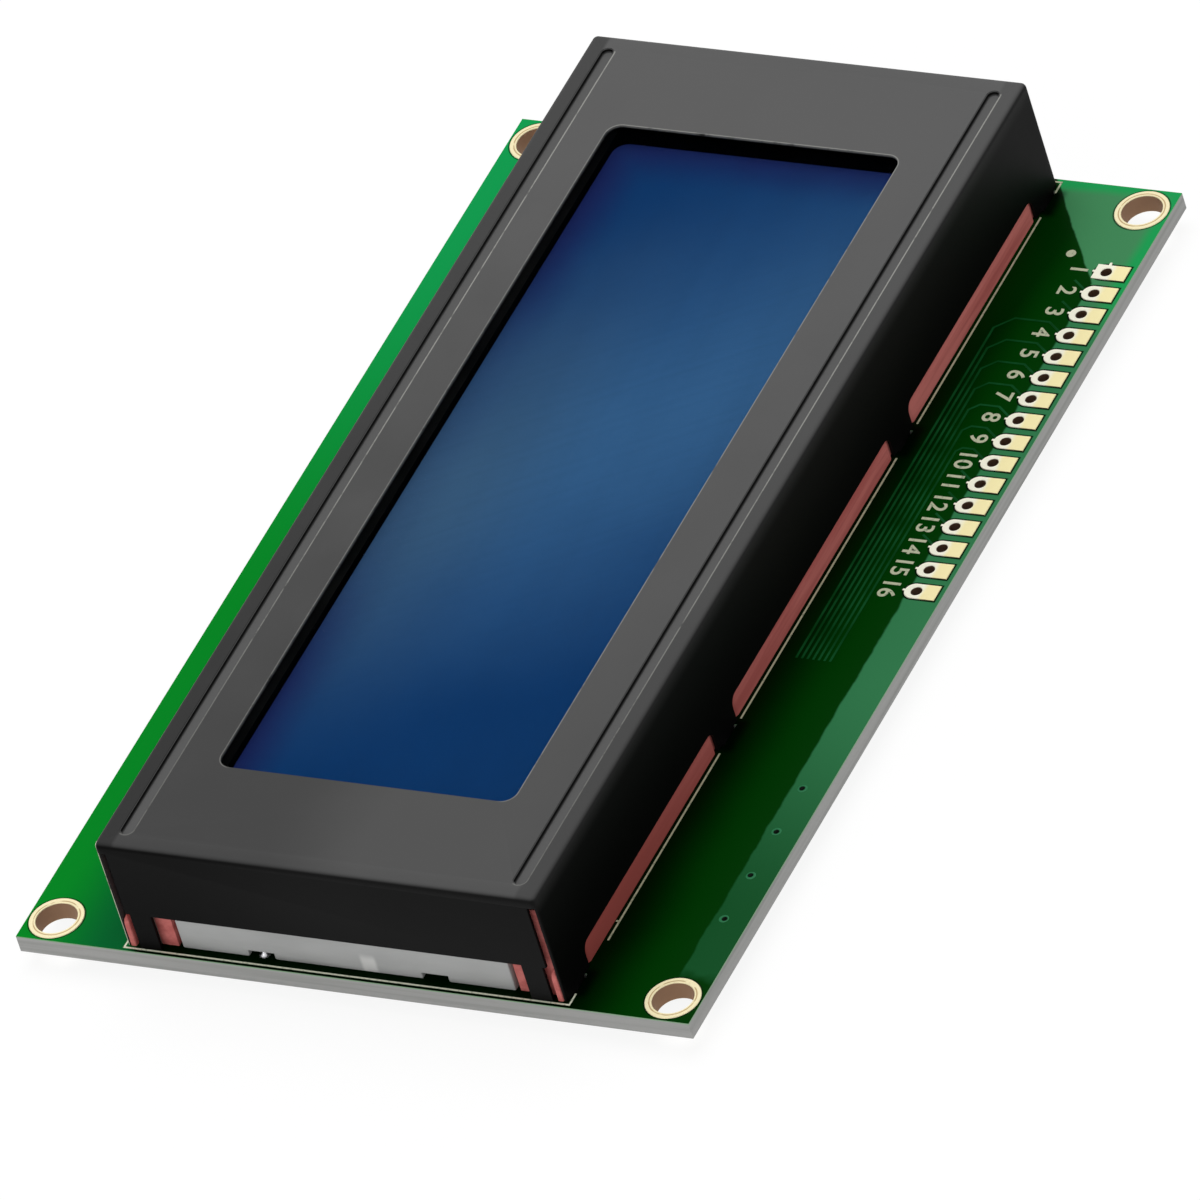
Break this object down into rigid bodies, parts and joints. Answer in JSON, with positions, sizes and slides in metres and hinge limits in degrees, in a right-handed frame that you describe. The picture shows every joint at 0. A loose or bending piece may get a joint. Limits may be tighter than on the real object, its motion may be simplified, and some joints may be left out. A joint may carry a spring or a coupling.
{
  "type": "character lcd module",
  "caption": "Character display module: blue glass in a black folded frame on a green board, with corner mounting holes and a header row along its edge.",
  "frame": {"origin": "under the middle of the board, at the tips of the twisted tabs that the module rests on", "axes": "+X along the board away from the first header pin, +Y across the board towards the header row, +Z out of the display face"},
  "size_m": [0.098, 0.06, 0.0141],
  "materials": {
    "board_green": "green solder mask over glass laminate",
    "gold_plate": "pale gold plating",
    "frame_black": "satin black coated steel",
    "display_film": "clear polarising film",
    "cell_glass": "clear flat glass",
    "display_blue": "blue field with a black border",
    "seal_glue": "cured glue",
    "zebra_silicone": "soft pink silicone",
    "zebra_conductor": "dark layered rubber",
    "backlight_white": "white moulded plastic",
    "light_guide_clear": "clear acrylic",
    "lamp": "phosphor yellow in a white package",
    "tinned_metal": "tinned and soldered metal",
    "resin_black": "black potting resin",
    "resistor_black": "dark glazed ceramic",
    "capacitor_tan": "tan ceramic"
  },
  "bodies": {
    "root": {"circuit_board": "board_green", "mounting_hole_lands": "gold_plate", "header_pads": "gold_plate", "contact_fingers": "gold_plate", "bezel": "frame_black", "front_polariser": "display_film", "front_glass": "cell_glass", "liquid_crystal": "display_blue", "cell_seal": "seal_glue", "filling_port_plug": "seal_glue", "rear_glass": "cell_glass", "rear_polariser": "display_film", "zebra_core_header_side": "zebra_conductor", "zebra_core_far_side": "zebra_conductor", "zebra_walls_header_side": "zebra_silicone", "zebra_walls_far_side": "zebra_silicone", "backlight_case": "backlight_white", "diffuser_film": "light_guide_clear", "light_guide": "light_guide_clear", "reflector_film": "backlight_white", "led_board": "board_green", "backlight_leds": "lamp", "backlight_leads": "tinned_metal", "lead_solder": "tinned_metal", "controller_blob": "resin_black", "driver_blobs": "resin_black", "resistor_bodies": "resistor_black", "resistor_ends": "tinned_metal", "capacitor_bodies": "capacitor_tan", "capacitor_ends": "tinned_metal"}
  },
  "joints": []
}
